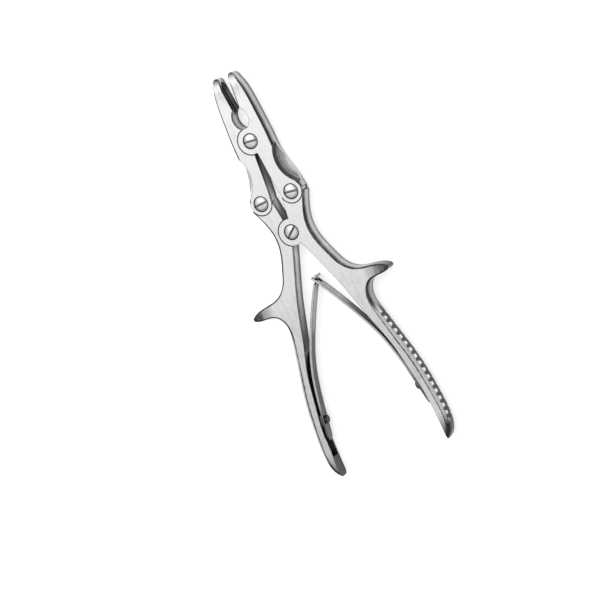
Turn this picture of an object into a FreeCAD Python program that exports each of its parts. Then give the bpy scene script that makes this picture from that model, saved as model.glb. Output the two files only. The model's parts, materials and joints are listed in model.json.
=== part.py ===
"""Double-action bone rongeur, modelled half open as it lies at rest on its leaf springs.

Frame: millimetres, Z up. The origin is on the axis of the handle pivot, in the plane the
instrument lies on. +Y runs to the jaw tips, +X to the right-hand limb, +Z to the screw heads.
Two jaws turn on one pivot, two handles on another, and each jaw tail is pinned to the nose of
the handle on its own side, so the four limbs form a kite-shaped four-bar linkage.
"""
import FreeCAD, Part
import math
import os
import Sketcher

RIGHT = 1
LEFT = -1
Z_AXIS = FreeCAD.Vector(0, 0, 1)

# Driving dimensions, in millimetres and degrees
SIZES = {
    # linkage
    "jaw_arm": 35.2,
    "handle_arm": 22.9,
    "link_spread": 9.9,
    "jaw_open_angle": 5.1,
    "jaw_gap_closed": 0.1,
    # thickness and half laps
    "body_thickness": 9.0,
    "lap_gap": 0.1,
    "jaw_boss_radius": 7.5,
    "handle_boss_radius": 7.7,
    "link_boss_radius": 6.4,
    "boss_clearance": 0.3,
    # pivot screws
    "head_radius": 4.05,
    "head_edge_height": 1.3,
    "head_dome_height": 0.45,
    "head_ring_gap": 0.3,
    "head_recess_depth": 1.4,
    "shank_radius": 2.6,
    "running_clearance": 0.05,
    "open_pivot_clearance": 0.1,
    "screw_end_chamfer": 0.3,
    "slot_width": 0.9,
    "slot_depth": 1.0,
    # jaws
    "jaw_length": 38.9,
    "jaw_half_width": 11.8,
    "jaw_nose_radius": 1.6,
    "nose_round": 0.9,
    "jaw_edge_round": 2.0,
    "tail_reach": 7.1,
    "slit_half_width": 1.1,
    "waist_depth": 3.2,
    "waist_radius": 17.2,
    "waist_cove": 7.0,
    "waist_floor": 2.7,
    "tip_slope_length": 8.0,
    "tip_slope_drop": 2.3,
    "window_half_width": 4.9,
    "window_half_length": 6.3,
    "window_offset": 13.4,
    "cup_radius": 3.25,
    "cup_end_distance": 36.4,
    "cup_nose_length": 6.0,
    # handles
    "nose_half_gap": 1.7,
    "throat_half_width": 11.3,
    "horn_reach": 42.8,
    "horn_drop": 37.2,
    "horn_tip_radius": 1.55,
    "neck_reach": 27.4,
    "neck_drop": 46.5,
    "grip_end_reach": 34.5,
    "grip_length": 137.4,
    "grip_bow": 7.4,
    "nose_edge_round": 0.8,
    "throat_edge_round": 1.5,
    "horn_edge_round": 0.85,
    "neck_edge_round": 1.8,
    "grip_edge_round": 2.6,
    "groove_radius": 1.3,
    "groove_depth": 1.1,
    "groove_pitch": 4.4,
    "groove_start": 14.0,
    "groove_count": 16,
    # spring channel in the inner face of each handle
    "channel_width": 7.2,
    "channel_depth": 2.4,
    "channel_top_drop": 64.0,
    "channel_end_drop": 125.0,
    # leaf springs
    "leaf_thickness": 1.2,
    "leaf_width": 5.8,
    "leaf_cross_drop": 29.6,
    "leaf_cross_angle": 34.0,
    "leaf_screw_reach": 31.2,
    "leaf_screw_drop": 104.0,
    "leaf_foot_length": 12.0,
    "leaf_seat_gap": 0.3,
    "neck_width": 2.4,
    "neck_length": 2.0,
    "fork_slot_width": 3.2,
    "fork_slot_depth": 3.0,
    "fork_end": 2.4,
    "tee_radius": 0.8,
    "tee_width": 5.8,
    "seat_length": 6.0,
    "seat_width": 5.8,
    # spring screws
    "spring_head_radius": 2.4,
    "spring_head_height": 1.2,
    "spring_shank_radius": 1.3,
    "spring_shank_length": 5.6,
    "spring_slot_width": 0.7,
    "spring_slot_depth": 0.6,
    "leaf_hole_clearance": 0.2,
}

# Places of the pivots, as expressions on the sheet
LINK_Y = "sqrt(sizes.handle_arm ^ 2 - sizes.link_spread ^ 2)"
JAW_Y = LINK_Y + " + sqrt(sizes.jaw_arm ^ 2 - sizes.link_spread ^ 2)"
HALF_HEIGHT = "(sizes.body_thickness - sizes.lap_gap) / 2"
UPPER_FLOOR = "(sizes.body_thickness + sizes.lap_gap) / 2"
MID_PLANE = "sizes.body_thickness / 2"

document = FreeCAD.newDocument("bone_rongeur")
sheet = document.addObject("Spreadsheet::Sheet", "sizes")


def fill_sheet():
    for row, (name, number) in enumerate(SIZES.items(), start=1):
        cell = "B%d" % row
        sheet.set("A%d" % row, name)
        sheet.set(cell, str(number))
        sheet.setAlias(cell, name)
    document.recompute()


fill_sheet()


def value(expression):
    return float(sheet.evalExpression(expression.replace("sizes.", "")))


def size(name):
    return float(sheet.get(name))


def point(x, y):
    return FreeCAD.Vector(x, y, 0)


def mirrored(points, side):
    return [point(side * place.x, place.y) for place in points]


def between(start, end, share):
    return start + (end - start) * share


LINK = point(size("link_spread"), value(LINK_Y))
JAW_PIVOT = point(0, value(JAW_Y))


# Document objects

def bind(item, **expressions):
    """Bind properties of an object to the sheet; a double underscore stands for a dot."""
    for name, expression in expressions.items():
        item.setExpression(name.replace("__", "."), expression)
    return item


def place(item, x="0", y="0", z="0"):
    return bind(item, Placement__Base__x=x, Placement__Base__y=y, Placement__Base__z=z)


def cylinder(name, x, y, z, radius, height):
    item = document.addObject("Part::Cylinder", name)
    bind(item, Radius=radius, Height=height)
    return place(item, x, y, z)


def box(name, length, width, height):
    item = document.addObject("Part::Box", name)
    return bind(item, Length=length, Width=width, Height=height)


def plan_sketch(name, curves):
    sketch = document.addObject("Sketcher::SketchObject", name)
    sketch.addGeometry(curves, False)
    return sketch


def extrusion(name, sketch, z, height):
    item = document.addObject("Part::Extrusion", name)
    item.Base = sketch
    item.DirMode = "Normal"
    item.Solid = True
    bind(item, LengthFwd=height)
    return place(item, z=z)


def cut(name, base, tools):
    """One cut after another; the last one carries the name."""
    last = len(tools) - 1
    for index, tool in enumerate(tools):
        item = document.addObject("Part::Cut", name if index == last else "%s_%d" % (name, index))
        item.Base = base
        item.Tool = tool
        base = item
    return base


def fuse(name, shapes):
    item = document.addObject("Part::MultiFuse", name)
    item.Shapes = shapes
    item.Refine = True
    return item


def rounded(name, base, edges):
    """Fillet of the edges given as (edge number, radius at its start, radius at its end)."""
    item = document.addObject("Part::Fillet", name)
    item.Base = base
    item.Edges = edges
    return item


def spline(points, start_tangent=None, end_tangent=None):
    curve = Part.BSplineCurve()
    if start_tangent is None:
        curve.interpolate(points)
    else:
        curve.interpolate(Points=points, InitialTangent=start_tangent, FinalTangent=end_tangent)
    return curve


def on_circle(centre, radius, angle):
    turn = math.radians(angle)
    return centre + point(radius * math.cos(turn), radius * math.sin(turn))


def line(start, end):
    return Part.LineSegment(start, end)


def edge_numbers(shape, curve, heights):
    """Numbers of the edges that run along a plan curve at the given heights."""
    middle = curve.value((curve.FirstParameter + curve.LastParameter) / 2)
    found = []
    for number, edge in enumerate(shape.Edges, start=1):
        for height in heights:
            spot = Part.Vertex(middle.x, middle.y, height)
            if edge.distToShape(spot)[0] < 0.001:
                found.append((number, edge))
    return found


def fillet_edges(shape, curve, heights, start_radius, end_radius):
    """Fillet list for a plan curve, with the radii in the curve's own direction."""
    start = curve.value(curve.FirstParameter)
    entries = []
    for number, edge in edge_numbers(shape, curve, heights):
        first = edge.valueAt(edge.FirstParameter)
        forward = math.hypot(first.x - start.x, first.y - start.y) < 0.01
        radii = (start_radius, end_radius) if forward else (end_radius, start_radius)
        entries.append((number,) + radii)
    return entries


# Screws of the four pivots

def polygon(body, name, plane, corners):
    """Closed outline on an origin plane of a body, each corner bound to the sheet."""
    sketch = body.newObject("Sketcher::SketchObject", name)
    origin_planes = {item.Role: item for item in body.Origin.OriginFeatures}
    sketch.AttachmentSupport = (origin_planes[plane], "")
    sketch.MapMode = "FlatFace"
    spots = [point(value(x), value(y)) for x, y in corners]
    count = len(spots)
    for index in range(count):
        sketch.addGeometry(line(spots[index], spots[(index + 1) % count]), False)
    for index in range(count):
        following = (index + 1) % count
        sketch.addConstraint(Sketcher.Constraint("Coincident", index, 2, following, 1))
    for index, (x, y) in enumerate(corners):
        for kind, expression in (("DistanceX", x), ("DistanceY", y)):
            number = sketch.addConstraint(
                Sketcher.Constraint(kind, -1, 1, index, 1, value(expression)))
            sketch.setExpression("Constraints[%d]" % number, expression)
    return sketch


def revolution(body, name, sketch):
    item = body.newObject("PartDesign::Revolution", name)
    item.Profile = sketch
    item.ReferenceAxis = (sketch, ["V_Axis"])
    item.Angle = 360
    return item


def slot_cut(body, name, width, depth, top, reach):
    """Driver slot across a head whose top is at the given height on the body's own Z axis."""
    half = "%s / 2" % width
    sketch = polygon(body, name + "_outline", "XZ_Plane", [
        ("-" + half, "%s - %s" % (top, depth)), (half, "%s - %s" % (top, depth)),
        (half, top + " + 1"), ("-" + half, top + " + 1")])
    item = body.newObject("PartDesign::Pocket", name)
    item.Profile = sketch
    item.Midplane = True
    bind(item, Length=reach)
    return item


def pivot_screw(node, x, y, slot_angle):
    """Domed slotted screw: head in the recess of the upper boss, end flush below."""
    body = document.addObject("PartDesign::Body", node)
    top = "sizes.body_thickness"
    seat = "sizes.body_thickness - sizes.head_recess_depth"
    rim = "%s + sizes.head_edge_height" % seat
    sketch = polygon(body, node + "_profile", "XZ_Plane", [
        ("0", "0"),
        ("sizes.shank_radius - sizes.screw_end_chamfer", "0"),
        ("sizes.shank_radius", "sizes.screw_end_chamfer"),
        ("sizes.shank_radius", seat),
        ("sizes.head_radius", seat),
        ("sizes.head_radius", rim),
        ("sizes.head_radius * 0.72", rim + " + sizes.head_dome_height * 0.62"),
        ("sizes.head_radius * 0.38", rim + " + sizes.head_dome_height * 0.92"),
        ("0", rim + " + sizes.head_dome_height")])
    revolution(body, node + "_turned", sketch)
    slot_cut(body, node + "_slot", "sizes.slot_width", "sizes.slot_depth",
             rim + " + sizes.head_dome_height", "4 * sizes.head_radius")
    body.Placement = FreeCAD.Placement(point(0, 0), FreeCAD.Rotation(Z_AXIS, slot_angle))
    place(body, x, y)
    body.Label = node
    return body


def screw_bores(name, x, y, clearance):
    """Recess for the head and bore for the shank, through both lapped bosses."""
    recess = cylinder(name + "_recess", x, y,
                      "sizes.body_thickness - sizes.head_recess_depth",
                      "sizes.head_radius + sizes.head_ring_gap", "2 * sizes.head_recess_depth")
    bore = cylinder(name + "_bore", x, y, "-1", "sizes.shank_radius + " + clearance,
                    "sizes.body_thickness + 2")
    return [recess, bore]


# Jaws

# Outline stations of a jaw: share of its half width, share of its length ahead of the pivot
JAW_FRONT = [(0.625, 0.9), (0.73, 0.812), (0.82, 0.69), (0.9, 0.47), (0.955, 0.24), (1.0, 0.0)]
# The same from the pivot back to the tail: share of the way out, share of the way up to the pivot
JAW_BACK = [(0.06, 0.705), (0.385, 0.454), (0.8, 0.217), (1.0, 0.01)]


def inner_line_point(distance):
    """Point on the inner face of the right jaw, turned open about the jaw pivot."""
    turn = math.radians(size("jaw_open_angle"))
    offset = size("jaw_gap_closed") / 2
    return JAW_PIVOT + point(offset * math.cos(turn) + distance * math.sin(turn),
                             distance * math.cos(turn) - offset * math.sin(turn))


def jaw_outer_curves(side):
    """Outside of a jaw: the round nose, then one long curve back to the tail."""
    width = size("jaw_half_width")
    length = size("jaw_length")
    corner = LINK.x + size("tail_reach")
    radius = size("jaw_nose_radius")
    open_angle = size("jaw_open_angle")
    centre = inner_line_point(length - radius * 1.02)
    centre = centre + on_circle(point(0, 0), radius, -open_angle)
    start, top, end = [on_circle(centre, radius, angle) for angle in (180 - open_angle, 105, 35)]
    points = [end]
    points += [JAW_PIVOT + point(across * width, along * length) for across, along in JAW_FRONT]
    rise = JAW_PIVOT.y - LINK.y
    points += [point(width + (corner - width) * out, LINK.y + rise * up) for out, up in JAW_BACK]
    back = spline(mirrored(points, side), mirrored([heading(35)], side)[0],
                  mirrored([point(0.15, -1)], side)[0])
    return Part.Arc(*mirrored([start, top, end], side)), back


def jaw_plan(side):
    """Plan of one jaw, from its nose along the outside to the tail and back along the inside."""
    nose, outer = jaw_outer_curves(side)
    tail_radius = size("link_boss_radius")
    corner = outer.value(outer.LastParameter)
    rise = JAW_PIVOT.y - LINK.y
    boss_foot = point(size("slit_half_width"), JAW_PIVOT.y - size("jaw_boss_radius") - 1)
    tail_side = point(LINK.x - tail_radius, LINK.y)
    inner_points = [tail_side]
    for share, up in ((0.63, 0.2), (0.315, 0.47)):
        inner_points.append(point(boss_foot.x + (tail_side.x - boss_foot.x) * share, LINK.y + rise * up))
    inner_points.append(boss_foot)
    inner = spline(mirrored(inner_points, side))
    start = nose.value(nose.FirstParameter)
    tail, foot, heel = mirrored([tail_side, boss_foot, inner_line_point(0)], side)
    curves = [nose, outer, line(corner, tail), inner, line(foot, heel), line(heel, start)]
    return nose, outer, curves


def turned(name, sketch, base, axis):
    """Solid made by turning a closed sketch once round an axis."""
    item = document.addObject("Part::Revolution", name)
    item.Source = sketch
    item.Axis = axis
    item.Base = base
    item.Angle = 360
    item.Solid = True
    return item


def waist_tool(name, side):
    """Hollow-ground scoop, turned about an upright axis outside the tail."""
    radius = size("waist_radius")
    cove = size("waist_cove")
    floor = size("waist_floor")
    face = size("body_thickness")
    axis_x = size("jaw_half_width") - size("waist_depth") + radius
    axis_y = between(LINK.y, JAW_PIVOT.y, 0.53)
    base = mirrored([point(axis_x, axis_y)], side)[0]
    middle = point(radius - cove, face)
    fall = math.degrees(math.asin((face - floor) / cove))
    foot, knee, wall = [on_circle(middle, cove, -angle) for angle in (fall, fall / 2, 0)]
    corners = [wall, point(radius, face + 1), point(0, face + 1), point(0, floor), foot]
    curves = [Part.Arc(foot, knee, wall)]
    curves += [line(corners[index], corners[index + 1]) for index in range(4)]
    sketch = plan_sketch(name + "_profile", curves)
    sketch.Placement = FreeCAD.Placement(base, FreeCAD.Rotation(FreeCAD.Vector(1, 0, 0), 90))
    return turned(name, sketch, base, Z_AXIS)


def tip_slopes(name):
    """Wedges that thin the jaw tips from both faces, each with a curved slope."""
    thickness = size("body_thickness")
    tip = JAW_PIVOT.y + size("jaw_length") + 1
    start = tip - 1 - size("tip_slope_length")
    drop = size("tip_slope_drop")
    tools = []
    for label, face, inward in (("over", thickness, -1), ("under", 0, 1)):
        begin = point(start, face)
        knee = point(between(start, tip, 0.55), face + inward * drop * 0.3)
        end = point(tip, face + inward * drop)
        far = face - inward
        corners = [end, point(tip, far), point(start, far), begin]
        curves = [Part.Arc(begin, knee, end)]
        curves += [line(corners[index], corners[index + 1]) for index in range(3)]
        sketch = plan_sketch("%s_%s_outline" % (name, label), curves)
        sketch.Placement = FreeCAD.Placement(point(0, 0), FreeCAD.Rotation(FreeCAD.Vector(1, 1, 1), 120))
        item = document.addObject("Part::Extrusion", "%s_%s" % (name, label))
        item.Base = sketch
        item.DirMode = "Normal"
        item.Solid = True
        item.Symmetric = True
        bind(item, LengthFwd="4 * sizes.jaw_half_width")
        tools.append(item)
    return tools


def cup_tool(name, side):
    """Spindle, turned about the inner face of the open jaw, that hollows the biting cup."""
    radius = size("cup_radius")
    start = size("window_offset")
    end = size("cup_end_distance")
    shoulder = end - size("cup_nose_length")
    knee = point(radius * 0.8, between(shoulder, end, 0.6))
    curves = [line(point(0, start), point(radius, start)),
              line(point(radius, start), point(radius, shoulder)),
              Part.Arc(point(radius, shoulder), knee, point(0, end)),
              line(point(0, end), point(0, start))]
    sketch = plan_sketch(name + "_profile", curves)
    turn = FreeCAD.Rotation(Z_AXIS, -side * size("jaw_open_angle"))
    middle = JAW_PIVOT + Z_AXIS * (size("body_thickness") / 2)
    sketch.Placement = FreeCAD.Placement(middle, turn)
    return turned(name, sketch, middle, turn.multVec(FreeCAD.Vector(0, 1, 0)))


def window_tool(name):
    centre = JAW_PIVOT + point(0, size("window_offset"))
    ellipse = Part.Ellipse(centre + point(0, size("window_half_length")),
                           centre + point(size("window_half_width"), 0), centre)
    sketch = plan_sketch(name + "_outline", [ellipse])
    return extrusion(name, sketch, "-1", "sizes.body_thickness + 2")


def lap_disc(name, x, y, radius, upper, extra=""):
    """Half-thickness disc at a pivot: the boss itself, or the room cut for its mate."""
    floor = UPPER_FLOOR if upper else "0"
    return cylinder(name, x, y, floor, radius + extra, HALF_HEIGHT)


def lap_room(name, x, y, radius, upper):
    """Room for the mate's boss: half the thickness plus the lap gap, open at the face."""
    floor = HALF_HEIGHT if upper else "-1"
    height = "sizes.body_thickness" if upper else "1 + " + UPPER_FLOOR
    return cylinder(name, x, y, floor, radius + " + sizes.boss_clearance", height)


def jaw(node, side, upper_at_pivot, tail_clearance):
    nose, outer, curves = jaw_plan(side)
    blank = extrusion(node + "_blank", plan_sketch(node + "_plan", curves), "0", "sizes.body_thickness")
    document.recompute()
    faces = [0, size("body_thickness")]
    small = size("nose_round")
    entries = fillet_edges(blank.Shape, nose, faces, small, small)
    entries += fillet_edges(blank.Shape, outer, faces, small, size("jaw_edge_round"))
    smooth = rounded(node + "_rounded", blank, entries)
    link_x = "sizes.link_spread" if side == RIGHT else "-sizes.link_spread"
    rooms = [lap_room(node + "_tail_room", link_x, LINK_Y, "sizes.link_boss_radius", False),
             waist_tool(node + "_waist", side),
             window_tool(node + "_window"),
             cup_tool(node + "_cup", side)]
    rooms += tip_slopes(node + "_tip")
    limb = cut(node + "_limb", smooth, rooms)
    limb = cut(node + "_lap", limb, [lap_room(node + "_boss_room", "0", JAW_Y, "sizes.jaw_boss_radius",
                                              not upper_at_pivot)])
    boss = lap_disc(node + "_boss", "0", JAW_Y, "sizes.jaw_boss_radius", upper_at_pivot)
    tail = lap_disc(node + "_tail_boss", link_x, LINK_Y, "sizes.link_boss_radius", True)
    joined = fuse(node + "_joined", [limb, boss, tail])
    bores = screw_bores(node + "_pivot", "0", JAW_Y, "sizes.running_clearance")
    bores += screw_bores(node + "_tail", link_x, LINK_Y, tail_clearance)
    result = cut(node, joined, bores)
    result.Label = node
    return result


# Handles

# Outside of the grip: share of the way along its chord, share of its greatest bow
GRIP_BOW = [(0.143, 0.12), (0.282, 0.46), (0.396, 0.73), (0.523, 0.93), (0.644, 1.0), (0.776, 1.0),
            (0.864, 0.905), (0.935, 0.66), (0.976, 0.36)]


def heading(angle):
    """Direction of travel when passing clockwise through a point of a circle."""
    return on_circle(point(0, 0), 1, angle - 90)


# Points of a handle's outside between which its edge rounding runs evenly from one size to the next
EDGE_ROUNDS = [(0, "nose_edge_round"), (2, "throat_edge_round"), (7, "horn_edge_round"),
               (12, "horn_edge_round"), (14, "neck_edge_round"), (24, "grip_edge_round")]


def handle_outer_points(side):
    """Outside of a handle: nose, throat, horn, neck, grip and its end."""
    throat = size("throat_half_width")
    horn = point(size("horn_reach"), -size("horn_drop"))
    tip_radius = size("horn_tip_radius")
    neck = point(size("neck_reach"), -size("neck_drop"))
    end = point(size("grip_end_reach"), -size("grip_length"))
    points = [LINK + point(size("tail_reach"), -2.4),
              point(throat + 2.2, LINK.y * 0.49),
              point(throat, LINK.y * 0.05),
              point(throat + 1.1, horn.y * 0.235),
              point(between(throat, horn.x, 0.145), horn.y * 0.49),
              point(between(throat, horn.x, 0.27), horn.y * 0.705),
              point(between(throat, horn.x, 0.455), horn.y * 0.835),
              point(between(throat, horn.x, 0.76), horn.y * 0.89)]
    points += [on_circle(horn, tip_radius, angle) for angle in (70, 20, -30, -80)]
    points += [point(between(neck.x, horn.x, 0.62), between(horn.y, neck.y, 0.26)),
               point(between(neck.x, horn.x, 0.2), between(horn.y, neck.y, 0.44)),
               neck]
    for share, bow in GRIP_BOW:
        points.append(neck + (end - neck) * share + point(size("grip_bow") * bow, 0))
    points.append(end)
    return mirrored(points, side)


def curve_pieces(curve, points, stations):
    """The stretches of a curve between some of the points that it passes through."""
    pieces = []
    for start, end in zip(stations[:-1], stations[1:]):
        piece = curve.copy()
        piece.segment(curve.parameter(points[start]), curve.parameter(points[end]))
        pieces.append(piece)
    return pieces


def handle_inner_points():
    """Inner edge of the right handle, from the grip end up to the foot of its boss."""
    end = point(size("grip_end_reach"), -size("grip_length"))
    boss_foot = point(size("handle_boss_radius") * 0.42, -size("handle_boss_radius") * 1.02)
    return [end,
            point(end.x + 0.1, end.y * 0.96),
            point(end.x - 0.2, end.y * 0.885),
            point(end.x - 1.0, end.y * 0.785),
            point(end.x - 3.4, end.y * 0.686),
            point(end.x - 7.1, end.y * 0.553),
            point(between(boss_foot.x, end.x, 0.61), between(boss_foot.y, end.y, 0.41)),
            point(between(boss_foot.x, end.x, 0.355), between(boss_foot.y, end.y, 0.217)),
            point(between(boss_foot.x, end.x, 0.18), between(boss_foot.y, end.y, 0.109)),
            boss_foot]


def handle_inner_curve(side):
    return spline(mirrored(handle_inner_points(), side))


def handle_plan(side):
    """Whole outside curve of a handle, its pieces, and all the curves of the plan."""
    points = handle_outer_points(side)
    outer = spline(points)
    pieces = curve_pieces(outer, points, [station for station, _ in EDGE_ROUNDS])
    inner = handle_inner_curve(side)
    radius = size("link_boss_radius")
    centre = mirrored([LINK], side)[0]
    west = centre - point(side * radius, 0)
    start = outer.value(outer.FirstParameter)
    boss_top = mirrored([point(size("nose_half_gap"), size("handle_boss_radius") * 1.03)], side)[0]
    foot = inner.value(inner.LastParameter)
    hub = point(0, 0)
    curves = pieces + [inner, line(foot, hub), line(hub, boss_top), line(boss_top, west), line(west, start)]
    return outer, pieces, curves


def groove_tools(name, side, grip):
    """Upright flutes across the outside of the grip, evenly spaced along its curve."""
    tools = []
    radius = size("groove_radius")
    neck = inner_parameter(grip, -size("neck_drop") - size("groove_start"))
    for index in range(int(size("groove_count"))):
        parameter = grip.parameterAtDistance(index * size("groove_pitch"), neck)
        spot = grip.value(parameter)
        along = grip.tangent(parameter)[0]
        outward = point(-along.y, along.x)
        if outward.x * side < 0:
            outward = outward * -1
        centre = spot + outward * (radius - size("groove_depth"))
        item = document.addObject("Part::Cylinder", "%s_%d" % (name, index))
        bind(item, Radius="sizes.groove_radius", Height="sizes.body_thickness + 2")
        item.Placement = FreeCAD.Placement(centre - Z_AXIS, FreeCAD.Rotation())
        tools.append(item)
    return tools


def channel_tool(name, side):
    """Channel milled along the inner face of the grip, where the leaf spring folds away."""
    inner = spline(handle_inner_points())
    depth = size("channel_depth")
    drops = [size("channel_top_drop") + (size("channel_end_drop") - size("channel_top_drop")) * share
             for share in (0, 0.12, 0.3, 0.5, 0.75, 1)]
    depths = [0, 0.6, 1, 1, 1, 1]
    floor = []
    rim = []
    for drop, share in zip(drops, depths):
        parameter = inner_parameter(inner, -drop)
        spot = inner.value(parameter)
        along = inner.tangent(parameter)[0]
        outward = point(abs(along.y), -along.x if along.y > 0 else along.x)
        floor.append(spot + outward * (depth * share))
        rim.append(spot - outward)
    floor_curve = spline(mirrored(floor, side))
    rim_ends = mirrored([rim[-1], rim[0]], side)
    end = mirrored([floor[-1]], side)[0]
    first = mirrored([floor[0]], side)[0]
    middle = mirrored([rim[2]], side)[0]
    curves = [floor_curve, line(end, rim_ends[0]), line(rim_ends[0], middle),
              line(middle, rim_ends[1]), line(rim_ends[1], first)]
    sketch = plan_sketch(name + "_outline", curves)
    return extrusion(name, sketch, "(sizes.body_thickness - sizes.channel_width) / 2", "sizes.channel_width")


def inner_parameter(curve, height):
    """Parameter at which a plan curve crosses a height, found by halving."""
    low = curve.FirstParameter
    high = curve.LastParameter
    rising = curve.value(high).y > curve.value(low).y
    for _ in range(50):
        middle = (low + high) / 2
        if (curve.value(middle).y < height) == rising:
            low = middle
        else:
            high = middle
    return (low + high) / 2


def handle(node, side, upper_at_pivot):
    outer, pieces, curves = handle_plan(side)
    blank = extrusion(node + "_blank", plan_sketch(node + "_plan", curves), "0", "sizes.body_thickness")
    document.recompute()
    faces = [0, size("body_thickness")]
    rounds = [size(name) for _, name in EDGE_ROUNDS]
    entries = []
    for index, piece in enumerate(pieces):
        entries += fillet_edges(blank.Shape, piece, faces, rounds[index], rounds[index + 1])
    smooth = rounded(node + "_rounded", blank, entries)
    link_x = "sizes.link_spread" if side == RIGHT else "-sizes.link_spread"
    rooms = [lap_room(node + "_nose_room", link_x, LINK_Y, "sizes.link_boss_radius", True),
             lap_room(node + "_boss_room", "0", "0", "sizes.handle_boss_radius", not upper_at_pivot),
             channel_tool(node + "_channel", side)]
    rooms += groove_tools(node + "_groove", side, outer)
    limb = cut(node + "_limb", smooth, rooms)
    boss = lap_disc(node + "_boss", "0", "0", "sizes.handle_boss_radius", upper_at_pivot)
    nose = lap_disc(node + "_nose_boss", link_x, LINK_Y, "sizes.link_boss_radius", False)
    seat = spring_seat(node + "_seat", side)
    joined = fuse(node + "_joined", [limb, boss, nose, seat])
    bores = screw_bores(node + "_pivot", "0", "0", "sizes.running_clearance")
    bores += screw_bores(node + "_nose", link_x, LINK_Y, "sizes.running_clearance")
    bores.append(spring_bore(node + "_spring_bore", side))
    result = cut(node, joined, bores)
    result.Label = node
    return result


# Leaf springs

# Bow of a leaf: share of the way up its chord, and bow as a share of the chord
LEAF_BOW = [(0.236, 0.0465), (0.406, 0.064), (0.6, 0.0566), (0.806, 0.0329)]


def leaf_points():
    """Centreline of the right leaf from its foot end up through the crossing point."""
    screw = point(size("leaf_screw_reach"), -size("leaf_screw_drop"))
    cross = point(0, -size("leaf_cross_drop"))
    lean = math.radians(size("leaf_cross_angle"))
    tip_direction = point(-math.sin(lean), math.cos(lean))
    foot_direction = foot_axis()
    foot_end = screw - foot_direction * size("leaf_foot_length")
    chord = cross - screw
    normal = point(chord.y, -chord.x) * (1 / chord.Length)
    bowed = []
    for share, bow in LEAF_BOW:
        bowed.append(screw + chord * share + normal * (bow * chord.Length))
    tip = cross + tip_direction * size("fork_end")
    return [foot_end, screw] + bowed + [cross, tip]


def foot_axis():
    """Direction of the leaf at its screw, pointing up the handle."""
    return point(-0.19, 0.982)


def leaf_curve(side):
    return spline(mirrored(leaf_points(), side))


def seat_frame(side, distance):
    """Placement at the spring screw with X into the handle, moved along X by a distance."""
    screw = mirrored([point(size("leaf_screw_reach"), -size("leaf_screw_drop"))], side)[0]
    along = mirrored([foot_axis()], side)[0]
    inward = point(along.y, -along.x) * side
    angle = math.degrees(math.atan2(inward.y, inward.x))
    base = screw + inward * distance + Z_AXIS * (size("body_thickness") / 2)
    return FreeCAD.Placement(base, FreeCAD.Rotation(Z_AXIS, angle))


def spring_seat(name, side):
    """Raised pad in the channel that the foot of the leaf is screwed down on."""
    item = box(name, "sizes.channel_depth + 1.6", "sizes.seat_length", "sizes.seat_width")
    back = size("leaf_thickness") / 2 + size("leaf_seat_gap")
    frame = seat_frame(side, back)
    shift = FreeCAD.Vector(0, -size("seat_length") / 2, -size("seat_width") / 2)
    item.Placement = frame.multiply(FreeCAD.Placement(shift, FreeCAD.Rotation()))
    return item


def spring_bore(name, side):
    item = document.addObject("Part::Cylinder", name)
    bind(item, Radius="sizes.spring_shank_radius + sizes.running_clearance",
         Height="sizes.spring_shank_length")
    frame = seat_frame(side, 0)
    item.Placement = frame.multiply(FreeCAD.Placement(point(0, 0), to_x_axis()))
    return item


def to_x_axis():
    """Turn that lays a Z axis along X."""
    return FreeCAD.Rotation(FreeCAD.Vector(0, 1, 0), 90)


def leaf_blank(name, side):
    """Curved strip of the leaf's thickness, with a rounded foot."""
    curve = leaf_curve(side)
    half = size("leaf_thickness") / 2
    count = 12
    span = curve.LastParameter - curve.FirstParameter
    edges = []
    for offset in (half, -half):
        points = []
        for index in range(count + 1):
            parameter = curve.FirstParameter + span * index / count
            along = curve.tangent(parameter)[0]
            points.append(curve.value(parameter) + point(-along.y, along.x) * offset)
        edges.append(points)
    left_curve = spline(edges[0])
    right_curve = spline(edges[1])
    curves = [left_curve, line(edges[0][-1], edges[1][-1]), right_curve, line(edges[1][0], edges[0][0])]
    sketch = plan_sketch(name + "_outline", curves)
    strip = extrusion(name + "_strip", sketch, "(sizes.body_thickness - sizes.leaf_width) / 2",
                      "sizes.leaf_width")
    document.recompute()
    foot = (edges[0][0] + edges[1][0]) * 0.5
    low = (size("body_thickness") - size("leaf_width")) / 2
    entries = []
    for number, edge in enumerate(strip.Shape.Edges, start=1):
        for height in (low, low + size("leaf_width")):
            if (edge.CenterOfMass - foot - Z_AXIS * height).Length < 0.01:
                entries.append((number, size("leaf_width") * 0.46, size("leaf_width") * 0.46))
    return rounded(name + "_blank", strip, entries)


def tip_frame(side, distance):
    """Placement on the straight end of a leaf, X along it, moved from the crossing point."""
    lean = math.radians(size("leaf_cross_angle"))
    direction = mirrored([point(-math.sin(lean), math.cos(lean))], side)[0]
    base = point(0, -size("leaf_cross_drop")) + direction * distance
    angle = math.degrees(math.atan2(direction.y, direction.x))
    return FreeCAD.Placement(base, FreeCAD.Rotation(Z_AXIS, angle))


def tip_box(name, side, start, end, low, high):
    """Block across the end of a leaf between two distances along it and two heights."""
    item = document.addObject("Part::Box", name)
    item.Length = end - start
    item.Width = 6 * size("leaf_thickness")
    bind(item, Height="%s - (%s)" % (high, low))
    shift = FreeCAD.Vector(0, -3 * size("leaf_thickness"), value(low))
    item.Placement = tip_frame(side, start).multiply(FreeCAD.Placement(shift, FreeCAD.Rotation()))
    return item


def leaf_hole(name, side):
    item = document.addObject("Part::Cylinder", name)
    bind(item, Radius="sizes.spring_shank_radius + sizes.leaf_hole_clearance",
         Height="4 * sizes.leaf_thickness")
    frame = seat_frame(side, -2 * size("leaf_thickness"))
    item.Placement = frame.multiply(FreeCAD.Placement(point(0, 0), to_x_axis()))
    return item


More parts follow.
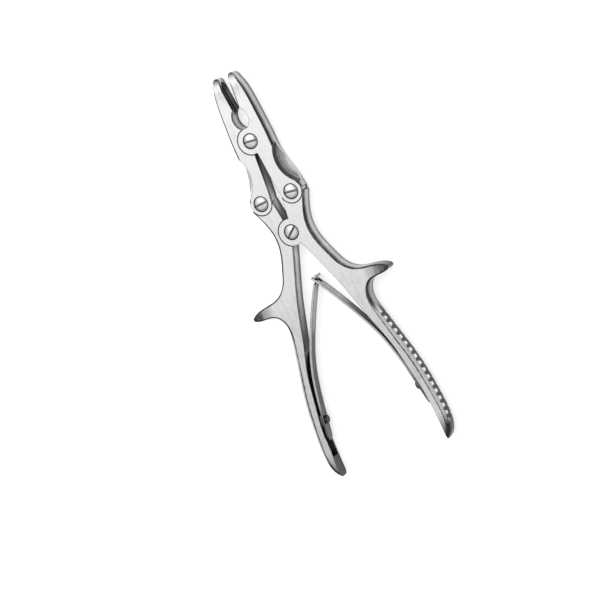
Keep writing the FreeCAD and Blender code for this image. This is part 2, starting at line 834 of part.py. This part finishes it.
def forked_leaf(node, side):
    """Leaf whose end is an open fork that takes the neck of the other leaf."""
    half = "sizes.fork_slot_width / 2"
    slot = tip_box(node + "_slot", side, -size("fork_slot_depth"), size("fork_end") + 1,
                   "%s - %s" % (MID_PLANE, half), "%s + %s" % (MID_PLANE, half))
    result = cut(node, leaf_blank(node, side), [slot, leaf_hole(node + "_hole", side)])
    result.Label = node
    return result


def tee_leaf(node, side):
    """Leaf that ends in a narrow neck and a cross bar, hooked through the fork."""
    half = "sizes.neck_width / 2"
    tools = []
    for label, low, high in (("under", "0", "%s - %s" % (MID_PLANE, half)),
                             ("over", "%s + %s" % (MID_PLANE, half), "sizes.body_thickness")):
        tools.append(tip_box("%s_%s" % (node, label), side, -size("neck_length"), size("fork_end") + 1,
                             low, high))
    neck = cut(node + "_neck", leaf_blank(node, side), tools + [leaf_hole(node + "_hole", side)])
    bar = document.addObject("Part::Cylinder", node + "_bar")
    bind(bar, Radius="sizes.tee_radius", Height="sizes.tee_width")
    bottom = Z_AXIS * ((size("body_thickness") - size("tee_width")) / 2)
    bar.Placement = FreeCAD.Placement(tip_frame(side, size("fork_end")).Base + bottom, FreeCAD.Rotation())
    result = fuse(node, [neck, bar])
    result.Label = node
    return result


def spring_screw(node, side):
    """Small slotted screw that holds the foot of a leaf to its seat."""
    body = document.addObject("PartDesign::Body", node)
    under_head = "-(sizes.leaf_thickness / 2 + sizes.leaf_seat_gap)"
    top = "%s - sizes.spring_head_height" % under_head
    sketch = polygon(body, node + "_profile", "XZ_Plane", [
        ("0", "sizes.spring_shank_length - 0.6"),
        ("sizes.spring_shank_radius - 0.3", "sizes.spring_shank_length - 0.6"),
        ("sizes.spring_shank_radius", "sizes.spring_shank_length - 1"),
        ("sizes.spring_shank_radius", under_head),
        ("sizes.spring_head_radius", under_head),
        ("sizes.spring_head_radius", top + " + 0.4"),
        ("sizes.spring_head_radius - 0.4", top),
        ("0", top)])
    revolution(body, node + "_turned", sketch)
    half = "sizes.spring_slot_width / 2"
    outline = polygon(body, node + "_slot_outline", "XZ_Plane", [
        ("-" + half, top + " + sizes.spring_slot_depth"), (half, top + " + sizes.spring_slot_depth"),
        (half, top + " - 1"), ("-" + half, top + " - 1")])
    slot = body.newObject("PartDesign::Pocket", node + "_slot")
    slot.Profile = outline
    slot.Midplane = True
    bind(slot, Length="4 * sizes.spring_head_radius")
    body.Placement = seat_frame(side, 0).multiply(FreeCAD.Placement(point(0, 0), to_x_axis()))
    body.Label = node
    return body


def check_document():
    for item in document.Objects:
        faults = [word for word in item.State if word in ("Invalid", "Error")]
        if faults:
            raise RuntimeError("%s is %s" % (item.Name, faults))


def export(nodes):
    os.makedirs("parts", exist_ok=True)
    for item in nodes:
        if item.Shape.isNull() or not item.Shape.isValid() or not item.Shape.Solids:
            raise RuntimeError("%s has no valid solid" % item.Label)
    for item in nodes:
        item.Shape.exportStep("parts/%s.step" % item.Label)
        print(item.Label, len(item.Shape.Solids), "solid", round(item.Shape.Volume, 1), "mm3")


def build():
    fits = "sizes.running_clearance"
    nodes = [
        jaw("right_jaw", RIGHT, True, fits),
        jaw("left_jaw", LEFT, False, "sizes.open_pivot_clearance"),
        handle("right_handle", RIGHT, True),
        handle("left_handle", LEFT, False),
        pivot_screw("jaw_pivot_screw", "0", JAW_Y, 82.7),
        pivot_screw("handle_pivot_screw", "0", "0", 126.9),
        pivot_screw("right_link_screw", "sizes.link_spread", LINK_Y, 80.9),
        pivot_screw("left_link_screw", "-sizes.link_spread", LINK_Y, 92.6),
        forked_leaf("right_leaf_spring", RIGHT),
        tee_leaf("left_leaf_spring", LEFT),
        spring_screw("right_spring_screw", RIGHT),
        spring_screw("left_spring_screw", LEFT),
    ]
    document.recompute()
    check_document()
    export(nodes)


build()
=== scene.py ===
"""Looks of the double-action bone rongeur, lit and seen as in its photograph. Metres."""

import json
import math

import bpy
from mathutils import Matrix, Vector


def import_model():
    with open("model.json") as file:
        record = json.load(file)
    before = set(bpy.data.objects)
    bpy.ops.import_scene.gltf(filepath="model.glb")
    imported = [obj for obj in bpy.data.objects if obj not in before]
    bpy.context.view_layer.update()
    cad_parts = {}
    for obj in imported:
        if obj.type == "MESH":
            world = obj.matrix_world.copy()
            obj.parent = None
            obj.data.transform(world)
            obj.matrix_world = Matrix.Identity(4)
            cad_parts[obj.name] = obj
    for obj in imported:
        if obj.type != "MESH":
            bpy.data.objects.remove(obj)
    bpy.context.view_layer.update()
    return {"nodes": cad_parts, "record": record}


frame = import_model()
MM = 0.001
LIMB_THICKNESS = 9.0 * MM


# Node graphs

class Field:
    """A number that varies over a surface; arithmetic on it adds maths nodes to its graph."""

    def __init__(self, graph, socket):
        self.graph = graph
        self.socket = socket

    def math(self, operation, *others, clamp=False):
        sockets = dict(enumerate((self,) + others))
        node = self.graph.node("ShaderNodeMath", sockets, operation=operation, use_clamp=clamp)
        return Field(self.graph, node.outputs[0])

    def __add__(self, other):
        return self.math("ADD", other)

    def __sub__(self, other):
        return self.math("SUBTRACT", other)

    def __rsub__(self, other):
        return (self * -1) + other

    def __mul__(self, other):
        return self.math("MULTIPLY", other)

    __radd__ = __add__
    __rmul__ = __mul__

    def absolute(self):
        return self.math("ABSOLUTE")

    def clamped(self):
        return self.math("ADD", 0.0, clamp=True)

    def ramp(self, low, high):
        """Smooth step from 0 at low to 1 at high."""
        sockets = {"Value": self, "From Min": low, "From Max": high}
        node = self.graph.node("ShaderNodeMapRange", sockets, interpolation_type="SMOOTHSTEP")
        return Field(self.graph, node.outputs["Result"])

    def fade(self, low, high):
        """Smooth step from 1 at low to 0 at high."""
        return 1.0 - self.ramp(low, high)

    def between(self, low, high):
        """Low where this is 0, high where it is 1."""
        return self * (high - low) + low


class Graph:
    """Nodes of one material or of the world."""

    def __init__(self, owner):
        owner.use_nodes = True
        self.tree = owner.node_tree
        self.tree.nodes.clear()

    def node(self, kind, sockets=None, **settings):
        """A node of this kind: its settings first, then what its sockets hold, by name or index."""
        node = self.tree.nodes.new(kind)
        for name, setting in settings.items():
            setattr(node, name, setting)
        for key, item in (sockets or {}).items():
            self.feed(node.inputs[key], item)
        return node

    def feed(self, socket, item):
        """Link a field or a socket, or set a plain value; a colour of three numbers is made opaque."""
        if isinstance(item, Field):
            self.tree.links.new(item.socket, socket)
        elif isinstance(item, bpy.types.NodeSocket):
            self.tree.links.new(item, socket)
        elif socket.type == "RGBA":
            socket.default_value = (*item, 1.0)
        else:
            socket.default_value = item

    def part(self, vector, axis):
        node = self.node("ShaderNodeSeparateXYZ", {"Vector": vector})
        return Field(self, node.outputs[axis])

    def noise(self, vector, cells, detail, rough):
        """Noise about 0, within 0.5 of it, with this many cells per metre along X, Y and Z."""
        stretched = self.node("ShaderNodeMapping", {"Vector": vector, "Scale": cells})
        sockets = {"Vector": stretched.outputs[0], "Scale": 1.0, "Detail": detail, "Roughness": rough}
        return Field(self, self.node("ShaderNodeTexNoise", sockets).outputs[0]) - 0.5

    def colour(self, factor, low, high):
        """Low where the factor is 0, high where it is 1."""
        node = self.node("ShaderNodeMix", {0: factor, 6: low, 7: high}, data_type="RGBA")
        return node.outputs[2]

    def close(self, shader, kind="ShaderNodeOutputMaterial"):
        self.node(kind, {"Surface": shader.outputs[0]})


# Places on the instrument

# The jaws point along +Y. Down is the distance from the origin towards the ends of the handles.
# Each pair is the stretch over which a mask turns.
JAW_TIPS_UP = (76.0 * MM, 85.0 * MM)
JAWS_TO_HANDLES_DOWN = (10.0 * MM, 70.0 * MM)
HORN_ACROSS = (27.0 * MM, 44.0 * MM)
HORN_TOP_DOWN = (28.0 * MM, 34.0 * MM)
HORN_FOOT_DOWN = (42.0 * MM, 50.0 * MM)
GRIP_DOWN = (52.0 * MM, 60.0 * MM)
END_LENGTH = 17.0 * MM
# How far from the middle of a limb's thickness its faces begin, and where the painted highlight along
# the middle of each flank fades out.
FACE_OFF_MIDDLE = (1.9 * MM, 2.3 * MM)
BELLY_OFF_MIDDLE = (0.6 * MM, 3.9 * MM)
# The scoop outside each jaw's tail, turned about this upright axis. Low is below mid-thickness.
SCOOP_AXIS_ACROSS = 25.8 * MM
SCOOP_AXIS_UP = 38.55 * MM
HOLLOW_RIM = (17.1 * MM, 17.4 * MM)
HOLLOW_LOW = (-2.2 * MM, 0.4 * MM)
LIP_RIM = (13.0 * MM, 17.3 * MM)
LIP_TOP_LOW = (-1.0 * MM, 1.0 * MM)
LIP_FOOT_LOW = (3.3 * MM, 4.3 * MM)
# Uprightness is the height of the unit normal, rounded at the edges: 1 on a level face, 0 on a wall.
# Faces lose their painted light within this radius of an edge, which paints a dark line along each
# edge.
MASK_EDGE_RADIUS = 0.42 * MM
LEVEL = 0.9995
TIP_TURN = (0.92, 0.995)
WALL_TURN = (0.05, 0.2)
LEDGE_TURN = (0.93, 0.98)
TIP_FACE_SHARE = 0.75


class Place:
    """Where a point of the steel lies and which way it faces, with masks from 0 to 1 that place painted
    light and shade and roughness.
    """

    def __init__(self, graph, level_from, dark_from):
        self.point = graph.node("ShaderNodeTexCoord").outputs["Object"]
        self.across = graph.part(self.point, "X").absolute()
        self.down = graph.part(self.point, "Y") * -1.0
        self.low = LIMB_THICKNESS / 2 - graph.part(self.point, "Z")
        rounded = graph.node("ShaderNodeBevel", {"Radius": MASK_EDGE_RADIUS}, samples=8)
        self.uprightness = graph.part(rounded.outputs[0], "Z").absolute()
        self.jaws = self.down.fade(*JAWS_TO_HANDLES_DOWN)
        # Painted shade over the last stretch of each handle; the grip stops where it begins.
        self.end_shade = self.down.ramp(dark_from, dark_from + END_LENGTH)
        self.grip = self.down.ramp(*GRIP_DOWN) * (1.0 - self.end_shade)
        # Painted shade on the horns, deepening outwards to their tips.
        self.horn_shade = self.across.ramp(*HORN_ACROSS) * self.down.ramp(*HORN_TOP_DOWN)
        self.horn_shade = self.horn_shade * self.down.fade(*HORN_FOOT_DOWN)
        self.find_faces(level_from)
        self.find_grip_walls()
        self.find_scoop()

    def find_faces(self, level_from):
        """The broad level faces, duller where the jaw tips slope, and the middle band between them that
        takes a painted highlight.
        """
        tips = (self.down * -1.0).ramp(*JAW_TIPS_UP)
        sloping = self.uprightness.ramp(*TIP_TURN) * TIP_FACE_SHARE
        self.face = self.uprightness.ramp(level_from, LEVEL) * (1.0 - tips) + tips * sloping
        off_middle = self.low.absolute()
        self.face = self.face * off_middle.ramp(*FACE_OFF_MIDDLE)
        # Painted highlight in a band along the middle of each flank.
        self.belly_highlight = off_middle.fade(*BELLY_OFF_MIDDLE)

    def find_grip_walls(self):
        """Painted shade on the upright walls of the grip, and a painted highlight and more roughness on
        the rounded ledge between them and its faces.
        """
        rounding = self.uprightness.ramp(*WALL_TURN)
        self.grip_wall_shade = self.grip * (1.0 - rounding)
        self.ledge = self.grip * rounding * self.uprightness.fade(*LEDGE_TURN)

    def find_scoop(self):
        """Painted shade over the upper half of the scoop and a painted highlight on the rim below it.
        """
        aside = (self.across - SCOOP_AXIS_ACROSS).math("POWER", 2.0)
        along = (self.down + SCOOP_AXIS_UP).math("POWER", 2.0)
        from_axis = (aside + along).math("SQRT")
        self.scoop_shade = from_axis.fade(*HOLLOW_RIM) * self.low.fade(*HOLLOW_LOW)
        self.lip_highlight = from_axis.fade(*LIP_RIM) * self.low.ramp(*LIP_TOP_LOW) * self.low.fade(*LIP_FOOT_LOW)


# Metals

# Sharp edges catch the light as if rounded with this radius.
SHADED_EDGE_RADIUS = 0.22 * MM
# Tone from 0, the dark colour, to 1, the bright one, painted as light: level faces bright, flanks
# darker. A pair is for the handles and for the jaws.
FACE_TONE = (0.85, 1.0)
FLANK_TONE = (0.3, 0.55)
# Painted highlight on the rim below each scoop; painted shade on the ends of the handles, in the scoops
# and on the grip walls.
LIP_HIGHLIGHT = 0.5
END_SHADE = 0.8
HOLLOW_SHADE = 0.6
WALL_SHADE = 0.55
LEDGE_ROUGHNESS = 0.25
# Painted shade: crevices darken towards this colour where the open share of the sky falls through these
# bounds.
PAINTED_SHADE_COLOUR = (0.02, 0.021, 0.022)
CREVICE_DEPTH = 7.0 * MM
OPEN_SHARE = (0.25, 0.95)
LEAST_SHADE = 0.06
# Marks of making and handling: cells per metre, octaves of detail and how much each octave keeps.
MARKS = {
    "brush": ((5200.0, 260.0, 5200.0), 3.0, 0.6),
    "streak": ((420.0, 26.0, 420.0), 4.0, 0.55),
    "grain": ((1500.0, 500.0, 1500.0), 2.0, 0.7),
    "cloud": ((46.0, 46.0, 46.0), 3.0, 0.5),
    "wear": ((900.0, 900.0, 900.0), 2.0, 0.6),
}
TONE_MARKS = {"streak": 0.5, "cloud": 0.35, "grain": 0.5}
ROUGHNESS_MARKS = {"brush": 0.10, "streak": 0.16, "cloud": 0.10}
HEIGHT_MARKS = {"brush": 1.0, "wear": 0.25}
MARK_HEIGHT = 0.02 * MM
MARK_STRENGTH = 0.5


def marked(marks, shares):
    """The named marks, each times its share, added up."""
    return sum(marks[name] * share for name, share in shares.items())


def painted_light_tone(place, marks):
    """Painted light and shade: bright faces and darker flanks, a painted highlight along the middle of
    each flank and on each scoop's lower rim, and painted shade on the horns, on the last stretch of
    each handle, in the scoops and on the grip walls, with random tone marks.
    """
    flank = place.belly_highlight * place.jaws.between(*FLANK_TONE) * (1.0 - place.scoop_shade) * (1.0 - place.grip)
    flank = flank + place.ledge + place.lip_highlight * LIP_HIGHLIGHT
    tone = place.face * place.jaws.between(*FACE_TONE) + (1.0 - place.face) * flank
    tone = tone - place.horn_shade - place.end_shade * END_SHADE
    return (tone + marked(marks, TONE_MARKS)).clamped()


def steel_painted_shade(graph, place):
    """Painted shade: how much light the steel keeps in crevices, in the scoops and on the walls of the
    grips.
    """
    sky = graph.node("ShaderNodeAmbientOcclusion", {"Distance": CREVICE_DEPTH}, samples=8)
    shade = Field(graph, sky.outputs["AO"]).ramp(*OPEN_SHARE).between(LEAST_SHADE, 1.0)
    return shade * (1.0 - place.scoop_shade * HOLLOW_SHADE) * (1.0 - place.grip_wall_shade * WALL_SHADE)


def steel(name, bright, dark, face_rough, side_rough, brush_lift, level_from, dark_from):
    """Brushed steel with satin faces, smoother flanks darkened by painted shade, painted highlights and
    faint marks of handling.
    """
    material = bpy.data.materials.new(name)
    graph = Graph(material)
    place = Place(graph, level_from, dark_from)
    marks = {mark: graph.noise(place.point, *sizes) for mark, sizes in MARKS.items()}
    lit = graph.colour(painted_light_tone(place, marks), dark, bright)
    rough = place.face.between(side_rough, face_rough) + place.ledge * LEDGE_ROUGHNESS
    rough = rough + marked(marks, ROUGHNESS_MARKS)
    rounded = graph.node("ShaderNodeBevel", {"Radius": SHADED_EDGE_RADIUS}, samples=4)
    bump = graph.node("ShaderNodeBump", {
        "Height": marked(marks, HEIGHT_MARKS) * brush_lift, "Strength": MARK_STRENGTH,
        "Distance": MARK_HEIGHT, "Normal": rounded.outputs[0]})
    shader = graph.node("ShaderNodeBsdfPrincipled", {
        "Base Color": graph.colour(steel_painted_shade(graph, place), PAINTED_SHADE_COLOUR, lit), "Metallic": 1.0,
        "Roughness": rough.clamped(), "Normal": bump.outputs[0]})
    graph.close(shader)
    return material


# Faces turn bright with painted light from the uprightness level_from. Painted shade darkens the ends
# from dark_from down the instrument.
FINISHES = {
    "satin_steel": {
        "bright": (0.86, 0.86, 0.86), "dark": (0.065, 0.067, 0.069), "face_rough": 0.38,
        "side_rough": 0.22, "brush_lift": 1.0, "level_from": 0.98, "dark_from": 120.0 * MM},
    "screw_steel": {
        "bright": (0.78, 0.78, 0.79), "dark": (0.06, 0.062, 0.064), "face_rough": 0.26,
        "side_rough": 0.22, "brush_lift": 0.6, "level_from": 0.93, "dark_from": 75.0 * MM},
    "spring_steel": {
        "bright": (0.66, 0.67, 0.68), "dark": (0.12, 0.123, 0.126), "face_rough": 0.30,
        "side_rough": 0.26, "brush_lift": 0.8, "level_from": 0.95, "dark_from": 90.0 * MM},
}


def finish_pieces():
    """Each piece gets the finish that its material slot in the record names."""
    materials = {slot: steel(slot, **sizes) for slot, sizes in FINISHES.items()}
    for subpart in frame["record"]["subparts"]:
        frame["nodes"][subpart["node"]].data.materials[0] = materials[subpart["material_slot"]]


# Floor, light and camera

WHITE = (1.0, 1.0, 1.0)
FLOOR_COLOUR = (0.95, 0.95, 0.95)
FLOOR_HALF = 3.0
FLOOR_DROP = 0.2 * MM
FLOOR_GLOW = 0.62


def floor():
    """Pale floor that looks white to the camera and in reflections, and keeps the shadow."""
    mesh = bpy.data.meshes.new("floor")
    corners = [(-1, -1), (1, -1), (1, 1), (-1, 1)]
    mesh.from_pydata([(x * FLOOR_HALF, y * FLOOR_HALF, 0.0) for x, y in corners], [], [(0, 1, 2, 3)])
    item = bpy.data.objects.new("floor", mesh)
    item.location.z = -FLOOR_DROP
    bpy.context.scene.collection.objects.link(item)
    material = bpy.data.materials.new("floor_white")
    graph = Graph(material)
    path = graph.node("ShaderNodeLightPath")
    seen = Field(graph, path.outputs["Is Camera Ray"]) + Field(graph, path.outputs["Is Glossy Ray"])
    glow = graph.node("ShaderNodeEmission", {"Strength": seen.clamped() * FLOOR_GLOW})
    diffuse = graph.node("ShaderNodeBsdfDiffuse", {"Color": FLOOR_COLOUR})
    graph.close(graph.node("ShaderNodeAddShader", {0: diffuse.outputs[0], 1: glow.outputs[0]}))
    mesh.materials.append(material)


# The sky brightens with height, and sooner towards the lamp: the two leans are along X and Y.
SKY_LEAN = (-0.24, 0.4)
SKY_RISE = (0.6, 0.95)
SKY_LEVEL = (0.40, 0.86)


def world():
    """Bright overhead and towards the lamp, dimmer near the horizon, as in a tent with dark flags."""
    scene_world = bpy.data.worlds.new("studio")
    bpy.context.scene.world = scene_world
    graph = Graph(scene_world)
    direction = graph.node("ShaderNodeTexCoord").outputs["Generated"]
    lean = graph.part(direction, "X") * SKY_LEAN[0] + graph.part(direction, "Y") * SKY_LEAN[1]
    level = (graph.part(direction, "Z") + lean).ramp(*SKY_RISE).between(*SKY_LEVEL)
    background = graph.node("ShaderNodeBackground", {"Color": WHITE, "Strength": level})
    graph.close(background, "ShaderNodeOutputWorld")


LAMP_PLACE = Vector((-0.42, 0.42, 1.0))
LAMP_SIDE = 0.6
LAMP_WATTS = 1.2


def key_lamp():
    """Square soft lamp overhead, towards -X and the jaws, aimed at the origin."""
    lamp = bpy.data.lights.new("key", "AREA")
    lamp.shape = "SQUARE"
    lamp.size = LAMP_SIDE
    lamp.energy = LAMP_WATTS
    item = bpy.data.objects.new("key", lamp)
    item.location = LAMP_PLACE
    item.rotation_euler = (-LAMP_PLACE).to_track_quat("-Z", "Y").to_euler()
    bpy.context.scene.collection.objects.link(item)


# The camera's direction from the object in degrees, and its place and lens fitted to the photograph.
CAMERA_TILT = 27.39
CAMERA_COMPASS = 9.81
CAMERA_ROLL = 63.51
CAMERA_DISTANCE = 1.2025
CAMERA_ASIDE = 2.96 * MM
CAMERA_DROP = 38.19 * MM
FOCAL_PIXELS = 2192.0
PHOTOGRAPH_PIXELS = 600.0
SENSOR_WIDTH = 36.0


def camera():
    """Camera at the photograph's viewing angle."""
    tilt, compass, roll = map(math.radians, (CAMERA_TILT, CAMERA_COMPASS, CAMERA_ROLL))
    back = Vector((math.sin(tilt) * math.cos(compass), math.sin(tilt) * math.sin(compass),
                   math.cos(tilt)))
    right = Vector((math.cos(roll), math.sin(roll), 0.0)).cross(back).normalized()
    up = back.cross(right)
    place = back * CAMERA_DISTANCE + right * CAMERA_ASIDE - up * CAMERA_DROP
    place.z += LIMB_THICKNESS / 2
    data = bpy.data.cameras.new("camera")
    data.sensor_width = SENSOR_WIDTH
    data.lens = FOCAL_PIXELS / PHOTOGRAPH_PIXELS * SENSOR_WIDTH
    item = bpy.data.objects.new("camera", data)
    item.matrix_world = Matrix.Translation(place) @ Matrix((right, up, back)).transposed().to_4x4()
    bpy.context.scene.collection.objects.link(item)
    bpy.context.scene.camera = item


finish_pieces()
floor()
world()
key_lamp()
camera()
bpy.context.scene.view_settings.view_transform = "Standard"
